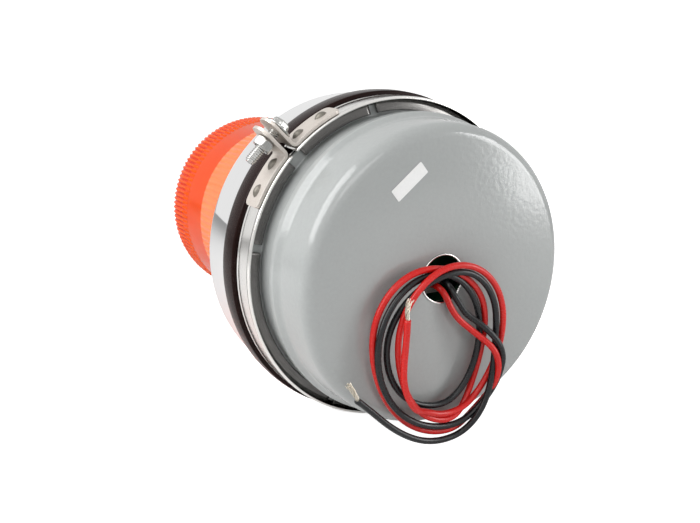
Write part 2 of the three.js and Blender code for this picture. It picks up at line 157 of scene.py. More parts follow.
def arcPiece(name, corners, start, end, fillets=3):
    # a closed section carried round part of the axis, with both ends closed; angles in degrees
    section = wayRound(rounded(corners, fillets))
    steps = max(3, int(abs(end - start) / 1.2))
    a = np.radians(np.linspace(start, end, steps + 1))[:, None]
    r, y = section[:, 0][None, :], section[:, 1][None, :]
    points = np.stack([r * np.cos(a), y + 0 * a, r * np.sin(a)], -1).reshape(-1, 3)
    k = np.arange(len(section))
    return addMesh(name, points, [grid(steps + 1, len(section)), k[None, ::-1], k[None] + steps * len(section)])


def spline(points, step=1.5):
    # a natural cubic spline through the points by chord length, then points evenly spaced along it
    p = np.asarray(points, float)
    t = np.r_[0, np.cumsum(np.linalg.norm(np.diff(p, axis=0), axis=1))]
    h, n = np.diff(t), len(p)
    system, known, inner = np.eye(n), np.zeros_like(p), np.arange(1, n - 1)
    system[inner, inner - 1], system[inner, inner], system[inner, inner + 1] = h[:-1], 2 * (h[:-1] + h[1:]), h[1:]
    known[1:-1] = 6 * np.diff(np.diff(p, axis=0) / h[:, None], axis=0)
    bend = np.linalg.solve(system, known)
    s = np.linspace(0, t[-1], 30 * n)
    k = np.clip(np.searchsorted(t, s, "right") - 1, 0, n - 2)
    u, w, hk = (s - t[k])[:, None], (t[k + 1] - s)[:, None], h[k][:, None]
    fine = (bend[k] * w**3 + bend[k + 1] * u**3) / (6 * hk)
    fine += (p[k] / hk - bend[k] * hk / 6) * w + (p[k + 1] / hk - bend[k + 1] * hk / 6) * u
    run = np.r_[0, np.cumsum(np.linalg.norm(np.diff(fine, axis=0), axis=1))]
    even = np.linspace(0, run[-1], max(4, int(run[-1] / step)))
    return np.stack([np.interp(even, run, fine[:, axis]) for axis in range(3)], -1)


def framesAlong(path):
    # two directions across a path at each point, carried along it without twist
    tangent = np.gradient(path, axis=0)
    tangent /= np.linalg.norm(tangent, axis=1, keepdims=True)
    across = np.empty_like(path)
    start = np.cross(tangent[0], [0.3, 0.1, 1.0])
    across[0] = start / np.linalg.norm(start)
    for k in range(1, len(path)):
        step = across[k - 1] - tangent[k] * (across[k - 1] @ tangent[k])
        across[k] = step / np.linalg.norm(step)
    return across, np.cross(tangent, across)


def tubePoints(path, radius, sides):
    # rings of a round tube: path + radius (cos a across + sin a other)
    across, other = framesAlong(path)
    a = np.linspace(0, 2 * np.pi, sides, endpoint=False)
    ring = np.cos(a)[None, :, None] * across[:, None] + np.sin(a)[None, :, None] * other[:, None]
    return path[:, None] + ring * np.asarray(radius)[..., None, None]


def tubeFaces(rows, sides, first=0):
    last = first + (rows - 1) * sides
    ends = np.arange(sides)
    return [grid(rows, sides) + first, ends[None, ::-1] + first, ends[None] + last]


def tubeAlong(name, path, radius, sides=16):
    points = tubePoints(path, np.broadcast_to(radius, len(path)), sides)
    run = np.r_[0, np.cumsum(np.linalg.norm(np.diff(path, axis=0), axis=1))]
    uv = np.stack(np.broadcast_arrays(np.arange(sides)[None] / sides, run[:, None] / 10), -1)
    return addMesh(name, points.reshape(-1, 3), tubeFaces(len(path), sides), uv.reshape(-1, 2))


def finished(piece, bevel=0, solid=0):
    if solid:
        m = piece.modifiers.new("Solidify", "SOLIDIFY")
        m.thickness, m.offset = solid * mm, 0
    if bevel:
        m = piece.modifiers.new("Bevel", "BEVEL")
        m.width, m.segments, m.limit_method = bevel * mm, 3, "ANGLE"
    return piece


# ---- materials ----
def group(name, inputs, outputs, build):
    # a shared effect: named inputs with their values, named outputs, and a function that joins them up
    tree = bpy.data.node_groups.new(name, "ShaderNodeTree")
    for label, value in inputs.items():
        tree.interface.new_socket(label, in_out="INPUT", socket_type="NodeSocketFloat").default_value = value
    for label, kind in outputs.items():
        tree.interface.new_socket(label, in_out="OUTPUT", socket_type="NodeSocket" + kind)
    build(tree, tree.nodes.new("NodeGroupInput").outputs, tree.nodes.new("NodeGroupOutput").inputs)
    return tree


def node(tree, kind, values=None, links=None, **settings):
    n = tree.nodes.new("ShaderNode" + kind)
    for key, value in settings.items():
        setattr(n, key, value)
    for key, value in (values or {}).items():
        n.inputs[key].default_value = value
    for key, socket in (links or {}).items():
        tree.links.new(socket, n.inputs[key])
    return n


def noiseAt(tree, place, scale, detail=3, rough=0.5):
    n = node(tree, "TexNoise", {"Detail": detail, "Roughness": rough}, {"Vector": place})
    if isinstance(scale, (int, float)):
        n.inputs["Scale"].default_value = scale
    else:
        tree.links.new(scale, n.inputs["Scale"])
    return n.outputs["Fac"]


def mapped(tree, value, fromLow, fromHigh, toLow, toHigh):
    n = node(tree, "MapRange", links={"Value": value})
    for key, v in zip(("From Min", "From Max", "To Min", "To Max"), (fromLow, fromHigh, toLow, toHigh)):
        if isinstance(v, (int, float)):
            n.inputs[key].default_value = v
        else:
            tree.links.new(v, n.inputs[key])
    return n.outputs["Result"]


def buildGrime(tree, given, out):
    # soft blotches and fine specks, as a mask and as a roughness between two values
    place = node(tree, "TexCoord").outputs["Object"]
    blotch = noiseAt(tree, place, given["Blotch scale"], 4, 0.6)
    speck = noiseAt(tree, place, given["Speck scale"], 2)
    both = node(tree, "Math", operation="MULTIPLY", links={0: blotch, 1: speck}).outputs[0]
    tree.links.new(mapped(tree, both, 0.1, 0.45, 0.0, 1.0), out["Mask"])
    tree.links.new(mapped(tree, both, 0.1, 0.45, given["Low"], given["High"]), out["Roughness"])


grime = group(
    "soft grime",
    {"Blotch scale": 40, "Speck scale": 900, "Low": 0.2, "High": 0.35},
    {"Mask": "Float", "Roughness": "Float"},
    buildGrime,
)


def buildPeel(tree, given, out):
    # waves of sprayed or moulded skin: a coarse noise with a finer one on it, as a height
    place = node(tree, "TexCoord").outputs["Object"]
    coarse = noiseAt(tree, place, given["Scale"], 2, 0.35)
    fineScale = node(tree, "Math", {1: 3.1}, {0: given["Scale"]}, operation="MULTIPLY").outputs[0]
    fine = noiseAt(tree, place, fineScale, 2, 0.5)
    part = node(tree, "Math", {1: 0.3}, {0: fine}, operation="MULTIPLY").outputs[0]
    total = node(tree, "Math", operation="ADD", links={0: coarse, 1: part}).outputs[0]
    bump = node(tree, "Bump", links={"Height": total, "Strength": given["Strength"], "Distance": given["Depth"]})
    tree.links.new(bump.outputs["Normal"], out["Normal"])


peel = group("skin waves", {"Scale": 300, "Strength": 0.3, "Depth": 0.0002}, {"Normal": "Vector"}, buildPeel)


def buildBrushed(tree, given, out):
    # fine lines that run round the axis: noise read at (radius, y, angle x 0.004), so it is stretched round the axis
    place = node(tree, "TexCoord").outputs["Object"]
    parts = node(tree, "SeparateXYZ", links={0: place}).outputs
    xx = node(tree, "Math", operation="MULTIPLY", links={0: parts["X"], 1: parts["X"]}).outputs[0]
    zz = node(tree, "Math", operation="MULTIPLY_ADD", links={0: parts["Z"], 1: parts["Z"], 2: xx}).outputs[0]
    radius = node(tree, "Math", operation="SQRT", links={0: zz}).outputs[0]
    angle = node(tree, "Math", operation="ARCTAN2", links={0: parts["Z"], 1: parts["X"]}).outputs[0]
    slow = node(tree, "Math", {1: 0.004}, {0: angle}, operation="MULTIPLY").outputs[0]
    flat = node(tree, "CombineXYZ", links={"X": radius, "Y": parts["Y"], "Z": slow}).outputs[0]
    lines = noiseAt(tree, flat, given["Scale"], 3, 0.6)
    tree.links.new(lines, out["Lines"])
    tree.links.new(mapped(tree, lines, 0.3, 0.7, given["Low"], given["High"]), out["Roughness"])
    bump = node(tree, "Bump", {"Distance": 0.00004}, {"Height": lines, "Strength": given["Strength"]})
    tree.links.new(bump.outputs["Normal"], out["Normal"])


brushed = group(
    "rolled lines",
    {"Scale": 2500, "Low": 0.12, "High": 0.3, "Strength": 0.15},
    {"Lines": "Float", "Roughness": "Float", "Normal": "Vector"},
    buildBrushed,
)


def placeGroup(tree, which, **values):
    n = tree.nodes.new("ShaderNodeGroup")
    n.node_tree = which
    for key, value in values.items():
        n.inputs[key.replace("_", " ")].default_value = value
    return n.outputs


def shader(name, **values):
    # a material with a Principled BSDF whose sockets hold the given constants
    material = bpy.data.materials.new(name)
    material.use_nodes = True
    tree = material.node_tree
    surface = tree.nodes["Principled BSDF"]
    for key, value in values.items():
        label = key.replace("_", " ")
        surface.inputs[label].default_value = value
    return material, tree, surface


def blended(tree, mask, first, second, blend="MIX"):
    # colour mix; its colour sockets are numbers 6, 7 and 2, and each side is a colour or another node's output
    mix = node(tree, "Mix", data_type="RGBA", blend_type=blend, links={0: mask})
    for place, side in ((6, first), (7, second)):
        if isinstance(side, tuple):
            mix.inputs[place].default_value = (*side, 1)
        else:
            tree.links.new(side, mix.inputs[place])
    return mix.outputs[2]


def tinted(tree, surface, mask, first, second):
    tree.links.new(blended(tree, mask, first, second), surface.inputs["Base Color"])


def greyPaint():
    material, tree, surface = shader("grey paint", Specular_IOR_Level=0.6)
    skin = placeGroup(tree, peel, Scale=420.0, Strength=0.2, Depth=0.0004)
    dust = placeGroup(tree, grime, Blotch_scale=35.0, Speck_scale=700.0, Low=0.13, High=0.2)
    tinted(tree, surface, dust["Mask"], (0.385, 0.4, 0.395), (0.36, 0.375, 0.37))
    tree.links.new(dust["Roughness"], surface.inputs["Roughness"])
    tree.links.new(skin["Normal"], surface.inputs["Normal"])
    return material


def metal(name, first, second, scale, lowRough, highRough, strength):
    material, tree, surface = shader(name, Metallic=1.0)
    lines = placeGroup(tree, brushed, Scale=scale, Low=lowRough, High=highRough, Strength=strength)
    tinted(tree, surface, lines["Lines"], first, second)
    tree.links.new(lines["Roughness"], surface.inputs["Roughness"])
    tree.links.new(lines["Normal"], surface.inputs["Normal"])
    return material


def lugSteel(name, first, second):
    # dull stamped sheet: a warm grey with a fine cast grain
    material, tree, surface = shader(name, Metallic=0.75)
    dust = placeGroup(tree, grime, Blotch_scale=120.0, Speck_scale=2600.0, Low=0.42, High=0.6)
    skin = placeGroup(tree, peel, Scale=2400.0, Strength=0.25, Depth=0.00012)
    tinted(tree, surface, dust["Mask"], first, second)
    tree.links.new(dust["Roughness"], surface.inputs["Roughness"])
    tree.links.new(skin["Normal"], surface.inputs["Normal"])
    return material


def moulded(name, first, second, lowRough, highRough, scale=600.0, strength=0.12, **values):
    material, tree, surface = shader(name, **values)
    dust = placeGroup(tree, grime, Blotch_scale=60.0, Speck_scale=1500.0, Low=lowRough, High=highRough)
    skin = placeGroup(tree, peel, Scale=scale, Strength=strength, Depth=0.0001)
    tinted(tree, surface, dust["Mask"], first, second)
    tree.links.new(dust["Roughness"], surface.inputs["Roughness"])
    tree.links.new(skin["Normal"], surface.inputs["Normal"])
    return material


finishes = {
    "greyPaint": greyPaint(),
    "bandSteel": metal("bright rolled steel", (0.9, 0.885, 0.86), (0.78, 0.765, 0.74), 2600.0, 0.1, 0.24, 0.12),
    # the retainers' steel is painted near-black: painted shade for the shadow between the strap and the can
    "shadeDarkenedRetainerSteel": metal("retainer steel darkened as painted shade", (0.17, 0.165, 0.16), (0.08, 0.078, 0.075), 2600.0, 0.14, 0.3, 0.15),
    "coverChrome": metal("polished cover", (0.93, 0.93, 0.93), (0.88, 0.88, 0.88), 900.0, 0.03, 0.07, 0.02),
    "zinc": metal("zinc plate", (0.62, 0.62, 0.6), (0.36, 0.36, 0.35), 1500.0, 0.12, 0.3, 0.1),
    "lugSteel": lugSteel("dull stamped steel", (0.66, 0.61, 0.56), (0.52, 0.475, 0.435)),
    "rivetSteel": lugSteel("rivet steel", (0.26, 0.24, 0.21), (0.13, 0.12, 0.1)),
    "darkRubber": moulded(
        "dark rubber", (0.009, 0.002, 0.0015), (0.014, 0.004, 0.003), 0.2, 0.34, 500.0, 0.08, Specular_IOR_Level=0.12,
    ),
    "sealRubber": moulded("seal rubber", (0.012, 0.012, 0.012), (0.03, 0.03, 0.03), 0.5, 0.7, 1200.0, 0.3),
    "blackPlastic": moulded("black plastic", (0.012, 0.012, 0.013), (0.03, 0.03, 0.03), 0.4, 0.6, 1500.0, 0.3),
    "sleeve": moulded("capacitor sleeve", (0.012, 0.02, 0.045), (0.02, 0.03, 0.06), 0.25, 0.4),
    "ceramic": moulded("ceramic", (0.78, 0.75, 0.68), (0.66, 0.63, 0.56), 0.35, 0.55, 900.0, 0.2),
    "board": moulded("circuit board", (0.012, 0.11, 0.04), (0.02, 0.16, 0.07), 0.35, 0.5, 1800.0, 0.3),
    "paper": moulded("label paper", (0.86, 0.86, 0.85), (0.8, 0.8, 0.79), 0.5, 0.65, 2000.0, 0.2),
    "redVinyl": moulded(
        "red vinyl", (0.66, 0.012, 0.009), (0.54, 0.008, 0.006), 0.22, 0.38, 700.0, 0.16, Specular_IOR_Level=0.4,
    ),
    "blackVinyl": moulded(
        "black vinyl", (0.005, 0.0055, 0.0065), (0.011, 0.012, 0.014), 0.22, 0.38, 700.0, 0.16, Specular_IOR_Level=0.4,
    ),
    "tinned": metal("tinned copper", (0.8, 0.76, 0.66), (0.62, 0.56, 0.46), 3000.0, 0.2, 0.4, 0.2),
}


def amberLens():
    # clear orange acrylic: light comes through it, and faint flow lines vary the tint; the ribs are painted darker in
    # their grooves as painted shade and lighter on their crests as painted highlight
    material, tree, surface = shader(
        "amber acrylic", Transmission_Weight=0.08, IOR=1.49, Specular_IOR_Level=0.15, Specular_Tint=(1.0, 0.5, 0.15, 1.0),
        Subsurface_Weight=0.1, Subsurface_Scale=0.003, Subsurface_Radius=(1.0, 0.15, 0.02),
    )
    dust = placeGroup(tree, grime, Blotch_scale=90.0, Speck_scale=1400.0, Low=0.12, High=0.24)
    relief = node(tree, "Attribute", attribute_name="relief").outputs["Fac"]
    # the rib relief sets painted shade in the grooves and painted highlight on the crests
    grooveShadeMask = mapped(tree, relief, 0.15, 0.85, 0.0, 1.0)
    ribs = blended(tree, grooveShadeMask, (0.62, 0.018, 0.0001), (0.88, 0.11, 0.0002))
    place = node(tree, "SeparateXYZ", links={0: node(tree, "TexCoord").outputs["Object"]}).outputs["Y"]
    # the skirt is painted paler orange: painted light from the white collar showing through it
    skirtEdge = (low("lens", 1) + 63) * mm
    skirt = mapped(tree, place, skirtEdge - 0.0004, skirtEdge + 0.0004, 1.0, 0.0)
    pale = blended(tree, skirt, ribs, (0.92, 0.25, 0.1))
    mottled = blended(tree, dust["Mask"], pale, (1.0, 0.86, 0.7), "MULTIPLY")
    tree.links.new(mottled, surface.inputs["Base Color"])
    tree.links.new(dust["Roughness"], surface.inputs["Roughness"])
    return material


def tubeGlass():
    material, tree, surface = shader("flash tube glass", Transmission_Weight=0.9, IOR=1.47)
    dust = placeGroup(tree, grime, Blotch_scale=200.0, Speck_scale=900.0, Low=0.02, High=0.08)
    tinted(tree, surface, dust["Mask"], (0.95, 0.97, 1.0), (0.86, 0.9, 0.95))
    tree.links.new(dust["Roughness"], surface.inputs["Roughness"])
    return material


finishes["amber"] = amberLens()
finishes["glass"] = tubeGlass()
print("materials made")


def placed(piece, finish, body, slot, *replaced):
    # the last step of each new piece: its material, body and the CAD nodes it stands for; slot is not used
    piece.data.materials.clear()
    piece.data.materials.append(finishes[finish])
    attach(piece, body)
    if replaced:
        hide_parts(*replaced)
    return piece


# ---- leads ----
# Each lead comes out of the can, joins the coil and ends stripped. Its loose stretches are listed points. In the coil
# it goes round by quarters between its furthest points right, down, left and up, each (x, y, z, lift): a quarter is a
# quarter of an ellipse, and lift moves its middle along y.
leads = {
    "red": {
        "diameter": 2.9, "length": 0.566, "finish": "redVinyl", "slot": "red_vinyl",
        "inside": [(-1.4, 14.2, -4.2), (-1.2, 10, -4.2)],
        "exit": [(-1, 4.6, -4), (-0.6, 1, -4.6), (0.6, -2.2, -8), (2.6, -3.4, -13), (6, -5, -18.4), (9.6, -6.4, -22)],
        "join": [(14.9, -9, -26.9), (19.6, -11.6, -32)],
        "coil": [
            (23.3, -11.8, -42, 0), (1, -5.5, -69.4, 3.2), (-38.4, -4.8, -22, 0), (-12, -5.2, 7, 0),
            (19.9, -5.2, -20, 0), (-0.5, -7.5, -63, 2), (-27.8, -8, -24, 0), (1, -8.3, 7.6, -0.6),
            (27.6, -8.5, -21, 0), (0.5, -8, -59.9, 1.2),
        ],
        "leave": (-28.2, -13.4, -31, 0), "leaveShare": 0.4,
        "tail": [(-22.7, -13.4, -50.7), (-26.3, -13.4, -44.6), (-28.2, -13.4, -37), (-28, -13.4, -27.3),
                 (-27.3, -13.4, -19.7), (-26.7, -13.4, -10.5)],
        "tip": [(-26.7, -13.4, -11.5), (-26.8, -13.4, -5.7), (-25.5, -13.4, -1.5)],
    },
    "black": {
        "diameter": 2.9, "length": 0.536, "finish": "blackVinyl", "slot": "black_vinyl",
        "inside": [(3.6, 14.2, -4.2), (3.6, 10, -3.8)],
        "exit": [(3.6, 4.6, -2.8), (4, 1, -3.6), (5, -2.4, -8), (6.8, -3.6, -11.5), (8.4, -5, -14.8)],
        "join": [(12.9, -7.2, -19.2), (17.6, -9.8, -23.6), (22.6, -11.6, -29.8)],
        "coil": [
            (25.5, -11.8, -37, 0), (2, -7.5, -66.3, 1.3), (-37.6, -7.8, -26.5, 0), (-8, -5.2, 4.2, 0),
            (17, -5.2, -24, 0), (-3, -4.6, -56.5, 0), (-31.6, -5, -27, 0), (1.5, -8.2, 4.5, 0),
            (23.9, -8.2, -21.5, 0),
        ],
        "leave": (-1, -8, -72.2, -3), "leaveShare": 0.72,
        "tail": [(7, -8, -70.6), (-1, -8, -72.2), (-9, -8, -71.6), (-17, -8, -69), (-25, -8, -64.4),
                 (-33, -8, -58), (-40.8, -8, -50.4), (-47.9, -8, -43.6)],
        "tip": [(-47.2, -8, -44.2), (-49.9, -8, -39), (-52.4, -8, -35.2)],
    },
}


def quarter(start, end, sideways, share=1.0, points=6):
    # x and z follow cosine and sine between two furthest points; y eases across, plus the lift
    t = np.linspace(0, np.pi / 2, points + 1)[1:]
    t = t[t <= share * np.pi / 2]
    (x0, y0, z0, _), (x1, y1, z1, lift) = start, end
    sine, cosine = np.sin(t), 1 - np.cos(t)
    shareX, shareZ = (cosine, sine) if sideways else (sine, cosine)
    x, z = x0 + (x1 - x0) * shareX, z0 + (z1 - z0) * shareZ
    y = y0 + (y1 - y0) * np.sin(t) ** 2 + lift * np.sin(2 * t) ** 2
    return np.stack([x, y, z], -1)


def leadPath(facts):
    coil = facts["coil"]
    parts = [facts["exit"], facts["join"], [coil[0][:3]]]
    for k, (start, end) in enumerate(zip(coil, coil[1:])):
        parts.append(quarter(start, end, sideways=k % 2 == 0))
    parts.append(quarter(coil[-1], facts["leave"], len(coil) % 2 == 1, facts["leaveShare"]))
    parts.append(facts["tail"])
    return spline(np.concatenate([np.asarray(part, float) for part in parts]))


strands = {"count": 11, "radius": 0.19, "spread": 0.72, "turns": 0.9, "fray": 1.1}


def strandPiece(name, tip):
    # thin wires laid round the tip's line, twisting once and fraying apart towards the end
    path = spline(tip, 0.45)
    across, other = framesAlong(path)
    share = np.linspace(0, 1, len(path))[:, None]
    points, faces = [], []
    for k in range(strands["count"]):
        turn = 2 * np.pi * (k / strands["count"] + strands["turns"] * share)
        out = strands["spread"] * (0.35 if k == 0 else 1) * (1 + strands["fray"] * share**2 * (0.3 + 0.7 * (k % 3) / 2))
        wire = path + out * (np.cos(turn) * across + np.sin(turn) * other)
        keep = len(path) - (k % 4)
        points.append(tubePoints(wire[:keep], np.full(keep, strands["radius"]), 8).reshape(-1, 3))
        faces += tubeFaces(keep, 8, sum(len(p) for p in points[:-1]))
    return addMesh(name, np.concatenate(points), faces)


for colour, facts in leads.items():
    innerPath = spline(facts["inside"] + facts["exit"][:1])[:-1]
    inside = tubeAlong(f"innerLead_{colour}", innerPath, facts["diameter"] / 2)
    placed(inside, facts["finish"], "housing", facts["slot"], f"inner_lead_{colour}")
    path = leadPath(facts)
    tip = placed(strandPiece(f"strands_{colour}", facts["tip"]), "tinned", "housing", "tinned", f"bare_end_{colour}")
    lead = tubeAlong(f"lead_{colour}_whole", path, facts["diameter"] / 2)
    placed(lead, facts["finish"], "housing", facts["slot"], f"lead_{colour}", f"lead_tail_{colour}", "lead_coil")
    print(colour, "lead is", round(float(np.linalg.norm(np.diff(path, axis=0), axis=1).sum())), "mm long")


# ---- can ----
can = {"edge": 6, "wall": 1.4, "beadOut": 2.9, "beadAt": 26.5, "flangeLip": 5.2, "flangeThick": 1.5}
canRadius = high("base_housing", 0)  # the clamped flange is its widest part
flangeFront = high("base_housing", 1)
neckRadius = canRadius - can["flangeLip"]
wallRadius = 67.3
holeRadius = high("hole_lip", 0) + 0.3


def baseHousing():
    w, bead = can["wall"], wallRadius + can["beadOut"]
    yBead = can["beadAt"]
    yFlange = flangeFront - can["flangeThick"]
    outside = [
        (holeRadius, 0, 0.3), (wallRadius, 0, can["edge"]), (wallRadius + 0.7, yBead - 5.5, 5),
        (bead, yBead - 2.4, 1.6), (bead, yBead + 1.4, 1.6), (neckRadius, yBead + 4.6, 2.5),
        (neckRadius, yFlange, 0.8), (canRadius, yFlange, 0.4), (canRadius, flangeFront, 0.4),
    ]
    inside = [
        (neckRadius - w, flangeFront, 0.3), (neckRadius - w, yBead + 4.6, 1.5), (bead - w, yBead + 1.4, 1),
        (bead - w, yBead - 2.4, 1), (wallRadius - w, yBead - 5.5, 3), (wallRadius - w, w, can["edge"] - w),
        (holeRadius, w, 0.3),
    ]
    return revolved("baseHousing", outside + inside, 288, 7)


placed(baseHousing(), "greyPaint", "housing", "grey_paint", "base_housing")

lip = {"roll": 0.3}


def holeLip():
    # a rolled edge: the lining turns out over the face and the back of the sheet
    r, y0, y1, roll = holeRadius - 0.2, low("hole_lip", 1), high("hole_lip", 1), lip["roll"]
    return revolved(
        "holeLip",
        [(r - 0.55, y0 + roll, 0.5), (r - 0.3, y0, 0.25), (r + roll, y0, 0.25), (r + roll, -0.05, 0.1),
         (r, -0.05, 0.05), (r, y1, 0.1), (r - 0.55, y1, 0.1)],
        128, 4,
    )


placed(holeLip(), "bandSteel", "housing", "stainless", "hole_lip")

label = {"long": 18.3, "wide": 6, "thick": 0.14, "corner": 0.5, "tilt": 38}


def blankLabel():
    # a flat sheet with rounded corners: an outline drawn flat, then given its thickness
    a = np.radians(np.arange(0, 91, 15))
    halfLong, halfWide, c = label["long"] / 2 - label["corner"], label["wide"] / 2 - label["corner"], label["corner"]
    signs = ((1, 1, 0), (-1, 1, 90), (-1, -1, 180), (1, -1, 270))
    corners = []
    for sx, sz, turn in signs:
        b = a + np.radians(turn)
        corners.append(np.stack([sx * halfLong + c * np.cos(b), sz * halfWide + c * np.sin(b)], -1))
    flat = np.concatenate(corners)
    tilt = np.radians(label["tilt"])
    middle = [(low("blank_sticker", k) + high("blank_sticker", k)) / 2 for k in (0, 2)]
    x = middle[0] + flat[:, 0] * np.cos(tilt) - flat[:, 1] * np.sin(tilt)
    z = middle[1] + flat[:, 0] * np.sin(tilt) + flat[:, 1] * np.cos(tilt)
    n = len(flat)
    near, far = -0.04 - label["thick"], -0.04
    points = np.concatenate([np.stack([x, np.full(n, y), z], -1) for y in (near, far)])
    k = np.arange(n)
    sides = np.stack([k, (k + 1) % n, (k + 1) % n + n, k + n], -1)
    return addMesh("blankLabel", points, [k[None], k[None, ::-1] + n, sides[:, ::-1]], smooth=False)


placed(blankLabel(), "paper", "housing", "label", "blank_sticker")
print("can made")

# ---- rubber ring, cover, seals ----
cover = {"round": 9, "taper": 2, "wall": 1.4, "rim": 1.6}
ringRadius = high("rubber_ring", 0)


def rubberRing():
    y0, y1 = low("rubber_ring", 1), high("rubber_ring", 1)
    inner = canRadius - can["flangeLip"] + 0.75
    return revolved(
        "rubberRing",
        [(inner, y0, 0.4), (ringRadius - 0.3, y0, 0.9), (ringRadius, (y0 + y1) / 2, 30), (ringRadius - 0.3, y1, 1.3),
         (inner, y1, 0.4)],
    )


placed(rubberRing(), "darkRubber", "housing", "dark_rubber", "rubber_ring")


def coverShell():
    r, front, yNeck = high("cover", 0), high("cover", 1), low("cover", 1)
    yRim = high("rubber_ring", 1) + 0.3
    neck, w, side = canRadius - can["flangeLip"] + 0.4, cover["wall"], r - cover["taper"]
    bore = high("lens_collar", 0) - 8 + 0.3
    return revolved(
        "coverShell",
        [
            (canRadius, yNeck, 0.3), (canRadius, yNeck + 1.5, 0.3), (neck, yNeck + 1.5, 0.5), (neck, yRim, 0.4),
            (r, yRim, 0.5), (r, yRim + cover["rim"], 3), (side, front, cover["round"]), (bore, front, 0.3),
            (bore, front - w, 0.3), (side - w, front - w, cover["round"] - w), (r - w, yRim + cover["rim"], 1),
            (neck - w, yRim + cover["rim"], 0.8), (neck - w, yNeck, 0.3),
        ],
        288, 8,
    )


placed(coverShell(), "coverChrome", "housing", "chrome", "cover")


def sealOf(name, cadNode, body, corner):
    y0, y1, r = low(cadNode, 1), high(cadNode, 1), high(cadNode, 0)
    wide = {"flange_seal": 5.2, "lens_seal": 3.8}[cadNode]
    return placed(revolved(name, [(r - wide, y0, corner), (r, y0, corner), (r, y1, corner), (r - wide, y1, corner)]),
                  "sealRubber", body, "seal_rubber", cadNode)


sealOf("flangeSeal", "flange_seal", "housing", 0.4)
sealOf("lensSeal", "lens_seal", "seal", 0.8)
print("cover made")

# ---- lens ----
lensSize = {
    "ribs": 120, "skirtRibs": 90, "wall": 2.8, "round": 15, "flare": 2.2, "crown": 3,
    "skirtEnd": 63, "bandEnd": 83, "dotsEnd": 91, "ribDepth": 0.75, "skirtDepth": 0.28, "perRib": 6,
    "dotPitch": 2.7, "ribPitch": 3.4,
}


def lensShell():
    # outer radius = smooth profile + ribs; ribs = depth(y) times a pointed wave of the angle, and rings
    # of small prisms where the wave is also broken along y; the inner wall is the smooth profile less the wall
    size = lensSize
    foot, end = low("lens", 1), high("lens", 1)
    r0 = high("lens", 0) - size["flare"]
    shoulder, crown, corner = r0 + size["flare"], size["crown"], size["round"]
    tall = end - foot
    yCorner = tall - crown - corner
    a = np.radians(np.linspace(0, 72, 15))
    skirtEnd, bandEnd, dotsEnd = size["skirtEnd"], size["bandEnd"], size["dotsEnd"]
    stretches = (
        (0, skirtEnd - 1, 10), (skirtEnd - 0.7, skirtEnd + 0.2, 4), (skirtEnd + 2, bandEnd - 0.6, 6),
        (bandEnd - 0.2, yCorner, 44),
    )
    side = np.concatenate([np.linspace(*stretch) for stretch in stretches])  # rows lie close where there are prisms
    smooth = np.concatenate([
        np.stack([r0 + size["flare"] * np.clip(side / yCorner, 0, 1), side], -1),
        np.stack([shoulder - corner + corner * np.cos(a[1:]), yCorner + corner * np.sin(a[1:])], -1),
    ])
    last = smooth[-1]
    reach = np.linspace(1, 0.04, 22)[1:, None]
    cap = np.stack([last[0] * reach[:, 0], last[1] + (tall - last[1]) * (1 - reach[:, 0] ** 2)], -1)
    smooth = np.concatenate([smooth, cap])
    columns = size["ribs"] * size["perRib"]
    angle = np.linspace(0, 2 * np.pi, columns, endpoint=False)[None, :]
    r, y = smooth[:, :1], smooth[:, 1:]
    wave = np.abs(((angle * size["ribs"] / (2 * np.pi)) % 1) * 2 - 1) * 2 - 1
    skirtWave = np.cos(angle * size["skirtRibs"])

    def ease(start, stop):
        return np.clip((y - start) / (stop - start), 0, 1)

    skirt = (1 - ease(skirtEnd - 1, skirtEnd)) * size["skirtDepth"] * ease(0, 2)
    prisms = ease(bandEnd, bandEnd + 0.8)
    broken = 0.5 + 0.5 * np.cos((y - bandEnd) * 2 * np.pi / size["dotPitch"])
    rows = prisms * (1 - ease(dotsEnd, dotsEnd + 1))
    fade = np.clip((r - 3) / 30, 0, 1)  # the ribs run out towards the middle of the rounded end
    ribs = size["ribDepth"] * (prisms - rows) * fade * (0.75 + 0.25 * np.cos(y * 2 * np.pi / size["ribPitch"]))
    out = skirt * skirtWave + ribs * wave + rows * size["ribDepth"] * broken * (0.4 + 0.6 * wave) - 0.3 * prisms
    slope = np.gradient(smooth, axis=0)
    slope /= np.linalg.norm(slope, axis=1, keepdims=True)
    rr = r + out * slope[:, 1:]
    yy = y - out * slope[:, :1]
    w = size["wall"]
    inner = smooth[::-1] - np.stack([slope[::-1, 1], -slope[::-1, 0]], -1) * w
    inner = inner[inner[:, 0] > 2][::5]  # the inner wall is plain, so every fifth row is enough
    inner = np.concatenate([inner, inner[-1:]])
    inner[-1, 1] = 0  # the added last row lies on the foot
    ri, yi = inner[:, :1] + 0 * angle, inner[:, 1:] + 0 * angle
    radius, height = np.concatenate([rr + 0 * angle, ri]), np.concatenate([yy + 0 * angle, yi])
    points = np.stack([radius * np.cos(angle), foot + height, radius * np.sin(angle)], -1).reshape(-1, 3)
    n, m = len(rr), len(ri)
    k = np.arange(columns)
    outer = grid(n, columns)[:, ::-1]
    inside = grid(m, columns)[:, ::-1] + n * columns
    around, lastRow = (k + 1) % columns, (n + m - 1) * columns
    footRing = np.stack([k, around, around + lastRow, k + lastRow], -1)
    tips = np.array([[0, foot + tall, 0], [0, foot + inner[0, 1], 0]])
    points = np.concatenate([points, tips])
    top = (n - 1) * columns
    outCap = np.stack([k + top, around + top, np.full(columns, len(points) - 2)], -1)[:, ::-1]
    inCap = np.stack([k + n * columns, around + n * columns, np.full(columns, len(points) - 1)], -1)
    # relief is the ribs' height; the lens material turns it into painted shade in the grooves and painted highlight on
    # the crests
    relief = np.clip(0.5 + (out + 0.3 * prisms) / (2 * size["ribDepth"]), 0, 1)
    marks = np.concatenate([(relief + 0 * angle).ravel(), np.full(m * columns + 2, 0.5)])
    return addMesh("ribbedLens", points, [outer, inside, footRing, outCap, inCap], marks={"relief": marks})


placed(lensShell(), "amber", "lens", "amber", "lens")
print("lens made")

